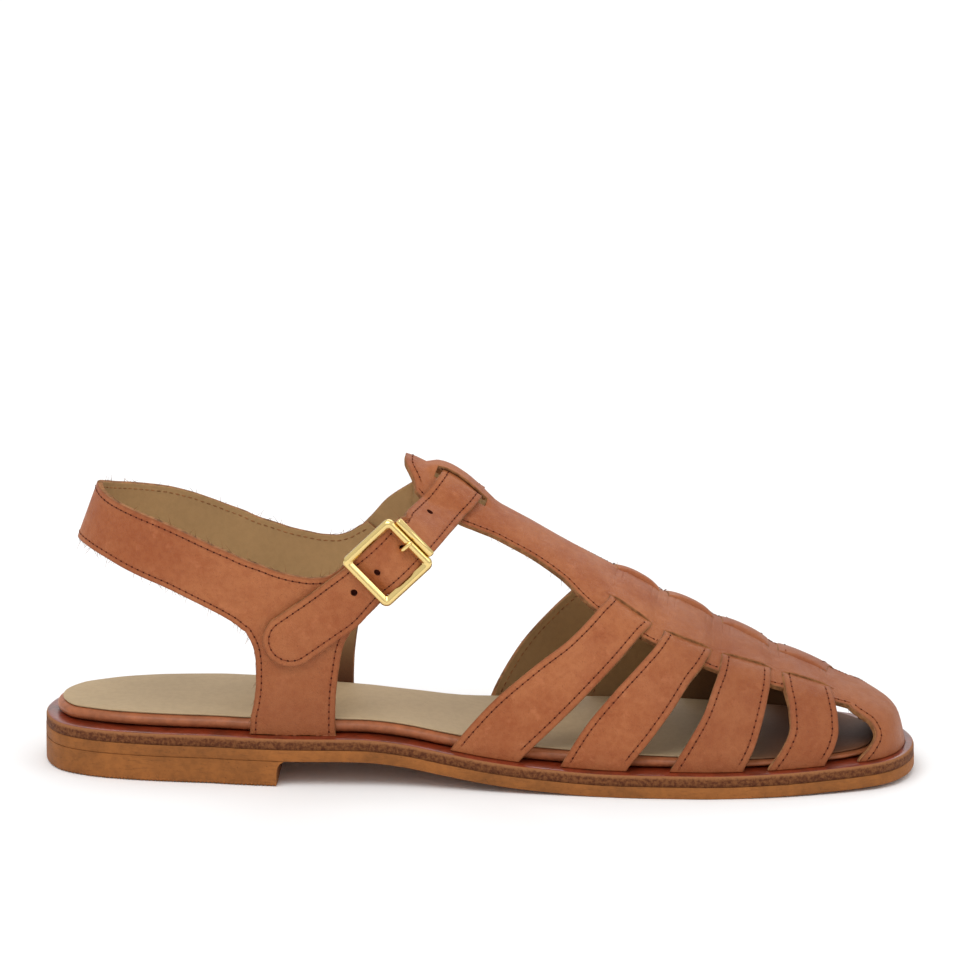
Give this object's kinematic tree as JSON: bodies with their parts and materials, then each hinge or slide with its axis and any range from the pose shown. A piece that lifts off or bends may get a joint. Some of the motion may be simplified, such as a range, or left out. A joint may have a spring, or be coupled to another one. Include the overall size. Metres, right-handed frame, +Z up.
{
  "type": "fisherman sandal",
  "caption": "Flat leather fisherman sandal: woven strap upper with closed toe cap, T-bar, heel strap and buckled ankle strap on a welted sole with a low heel.",
  "frame": {"origin": "on the floor under the middle of the shoe's box", "axes": "+X from heel to toe, +Y towards the inner side of the foot, +Z up; right shoe"},
  "size_m": [0.264, 0.0826, 0.0936],
  "materials": {
    "honey_sole": "satin",
    "red_welt": "waxed",
    "tan_leather": "smooth semi-matt",
    "beige_sock": "matt",
    "gold": "polished"
  },
  "bodies": {
    "root": {"outsole": "honey_sole", "heel_block": "honey_sole", "welt": "red_welt", "insole": "tan_leather", "sock": "beige_sock", "upper": "tan_leather", "quarter": "tan_leather", "ankle_strap": "tan_leather", "buckle_frame": "gold", "buckle_roller": "gold", "buckle_prong": "gold"}
  },
  "joints": []
}
